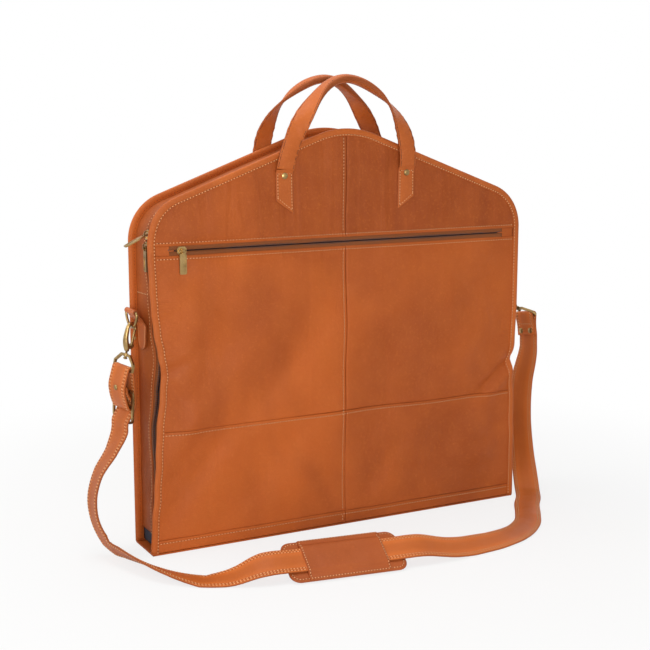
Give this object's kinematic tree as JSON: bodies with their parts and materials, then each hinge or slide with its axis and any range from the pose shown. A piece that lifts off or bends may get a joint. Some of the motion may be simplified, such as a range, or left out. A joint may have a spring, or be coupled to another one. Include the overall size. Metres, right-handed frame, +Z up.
{
  "type": "garment bag",
  "caption": "Leather folding garment bag with pitched shoulders, zip round three sides, front zip pocket, carry handles and an adjustable shoulder strap with a pad on snap hooks.",
  "frame": {"origin": "middle of the flat base the bag stands on", "axes": "+X to the bag's right seen from the front, +Y to the rear, +Z up"},
  "size_m": [0.7116, 0.2811, 0.6309],
  "materials": {
    "panel_leather": "pull-up leather, semi-matt",
    "edge_leather": "smooth leather, semi-matt",
    "strap_leather": "smooth leather, semi-matt",
    "pad_leather": "soft leather, semi-matt",
    "antique_brass": "antique, polished on the edges",
    "zip_tape": "woven twill tape",
    "zip_teeth": "antique",
    "lining_cloth": "woven lining",
    "webbing": "woven webbing",
    "clip_plastic": "matt",
    "stiff_board": "matt"
  },
  "bodies": {
    "rear_half": {"base_spine": "panel_leather", "base_board": "stiff_board", "rear_panels": "panel_leather", "rear_binding": "edge_leather", "rear_gusset": "panel_leather", "rear_lining": "lining_cloth", "main_zip_tape_rear": "zip_tape", "main_zip_teeth_rear": "zip_teeth", "ring_tab_left": "strap_leather", "ring_tab_right": "strap_leather", "rear_handle_ends": "strap_leather", "rear_handle_rivets": "antique_brass", "hanger_bracket": "antique_brass", "garment_tie": "webbing", "garment_tie_clip": "clip_plastic"},
    "front_half": {"front_hem": "panel_leather", "lower_panel_left": "panel_leather", "lower_panel_right": "panel_leather", "pocket_panel_left": "panel_leather", "pocket_panel_right": "panel_leather", "yoke_panel_left": "panel_leather", "yoke_panel_right": "panel_leather", "front_binding": "edge_leather", "front_gusset": "panel_leather", "front_lining": "lining_cloth", "main_zip_tape_front": "zip_tape", "main_zip_teeth_front": "zip_teeth", "pocket_zip_tapes": "zip_tape", "pocket_zip_teeth": "zip_teeth", "pocket_end_tabs": "edge_leather", "front_handle_ends": "strap_leather", "front_handle_rivets": "antique_brass"},
    "front_handle": {"front_handle_loop": "strap_leather"},
    "rear_handle": {"rear_handle_loop": "strap_leather"},
    "pocket_slider": {"pocket_slider": "antique_brass"},
    "pocket_pull": {"pocket_slider_pull": "antique_brass"},
    "lower_slider": {"lower_slider": "antique_brass"},
    "lower_pull": {"lower_slider_pull": "antique_brass"},
    "upper_slider": {"upper_slider": "antique_brass"},
    "upper_pull": {"upper_slider_pull": "antique_brass"},
    "ring_left": {"strap_ring_left": "antique_brass"},
    "ring_right": {"strap_ring_right": "antique_brass"},
    "strap": {"strap_link_left": "antique_brass", "strap_adjusting_loop": "strap_leather", "strap_buckle": "antique_brass", "strap_rivets": "antique_brass", "strap_left_drop": "strap_leather", "strap_front_left": "strap_leather", "strap_under_pad": "strap_leather", "strap_front_right": "strap_leather", "strap_right_drop": "strap_leather", "strap_right_fold": "strap_leather", "strap_link_right": "antique_brass"},
    "hook_left": {"snap_hook_left": "antique_brass"},
    "hook_right": {"snap_hook_right": "antique_brass"},
    "gate_left": {"snap_hook_gate_left": "antique_brass"},
    "gate_right": {"snap_hook_gate_right": "antique_brass"},
    "pad": {"pad_base": "pad_leather", "pad_sleeve": "pad_leather"},
    "hanger_hook": {"hanger_hook": "antique_brass"}
  },
  "joints": [
    {"name": "front_open", "type": "hinge", "parent": "rear_half", "child": "front_half", "pos_m": [0, -0.035, 0.0012], "axis": [1, 0, 0], "range_deg": [0, 70]},
    {"name": "front_handle_fold", "type": "hinge", "parent": "front_half", "child": "front_handle", "pos_m": [0, -0.0391, 0.50636], "axis": [1, 0, 0], "range_deg": [0, 110]},
    {"name": "rear_handle_fold", "type": "hinge", "parent": "rear_half", "child": "rear_handle", "pos_m": [0, 0.0391, 0.50636], "axis": [-1, 0, 0], "range_deg": [0, 110]},
    {"name": "pocket_slider_run", "type": "slide", "parent": "front_half", "child": "pocket_slider", "axis": [1, 0, 0], "range_m": [0, 0.486]},
    {"name": "pocket_pull_swing", "type": "hinge", "parent": "pocket_slider", "child": "pocket_pull", "pos_m": [-0.243, -0.0388, 0.406], "axis": [-1, 0, 0], "range_deg": [0, 150]},
    {"name": "lower_slider_run", "type": "slide", "parent": "rear_half", "child": "lower_slider", "axis": [0, 0, -1], "range_m": [0, 0.37]},
    {"name": "lower_pull_swing", "type": "hinge", "parent": "lower_slider", "child": "lower_pull", "pos_m": [-0.2851, -0.014, 0.411], "axis": [0, 1, 0], "range_deg": [0, 80]},
    {"name": "upper_slider_run", "type": "hinge", "parent": "rear_half", "child": "upper_slider", "pos_m": [-0.227, -0.014, 0.414], "axis": [0, 1, 0], "range_deg": [0, 45]},
    {"name": "upper_pull_swing", "type": "hinge", "parent": "upper_slider", "child": "upper_pull", "pos_m": [-0.28343, -0.014, 0.42695], "axis": [0, 1, 0], "range_deg": [0, 100]},
    {"name": "ring_left_swing", "type": "hinge", "parent": "rear_half", "child": "ring_left", "pos_m": [-0.297, 0.0115, 0.324], "axis": [0, 1, 0], "range_deg": [-1.2, 2.4]},
    {"name": "ring_right_swing", "type": "hinge", "parent": "rear_half", "child": "ring_right", "pos_m": [0.297, 0.0115, 0.324], "axis": [0, 1, 0], "range_deg": [-3.6, 0.5]},
    {"name": "strap_swing", "type": "hinge", "parent": "rear_half", "child": "strap", "pos_m": [0, 0.0115, 0.324], "axis": [1, 0, 0], "range_deg": [-50, 0]},
    {"name": "hook_left_swivel", "type": "hinge", "parent": "strap", "child": "hook_left", "pos_m": [-0.29738, 0.0115, 0.30175], "axis": [0.2419, 0, 0.9703], "range_deg": [-6, 6]},
    {"name": "gate_left_open", "type": "hinge", "parent": "hook_left", "child": "gate_left", "pos_m": [-0.29788, 0.0129, 0.27817], "axis": [0.2511, -0.9659, -0.0626], "range_deg": [0, 20], "stiffness_Nm_per_rad": 0.004, "springref_deg": -5.73},
    {"name": "hook_right_swivel", "type": "hinge", "parent": "strap", "child": "hook_right", "pos_m": [0.29827, 0.0115, 0.30236], "axis": [-0.8192, 0, 0.5736], "range_deg": [-6, 6]},
    {"name": "gate_right_open", "type": "hinge", "parent": "hook_right", "child": "gate_right", "pos_m": [0.31407, 0.01047, 0.28483], "axis": [-0.1094, 0.9816, -0.1563], "range_deg": [0, 20], "stiffness_Nm_per_rad": 0.004, "springref_deg": -5.73},
    {"name": "pad_slide", "type": "slide", "parent": "strap", "child": "pad", "axis": [0.9903, -0.1392, 0], "range_m": [-0.024, 0.024]},
    {"name": "hanger_hook_fold", "type": "hinge", "parent": "rear_half", "child": "hanger_hook", "pos_m": [0, 0.0258, 0.49688], "axis": [-1, 0, 0], "range_deg": [0, 80]}
  ]
}
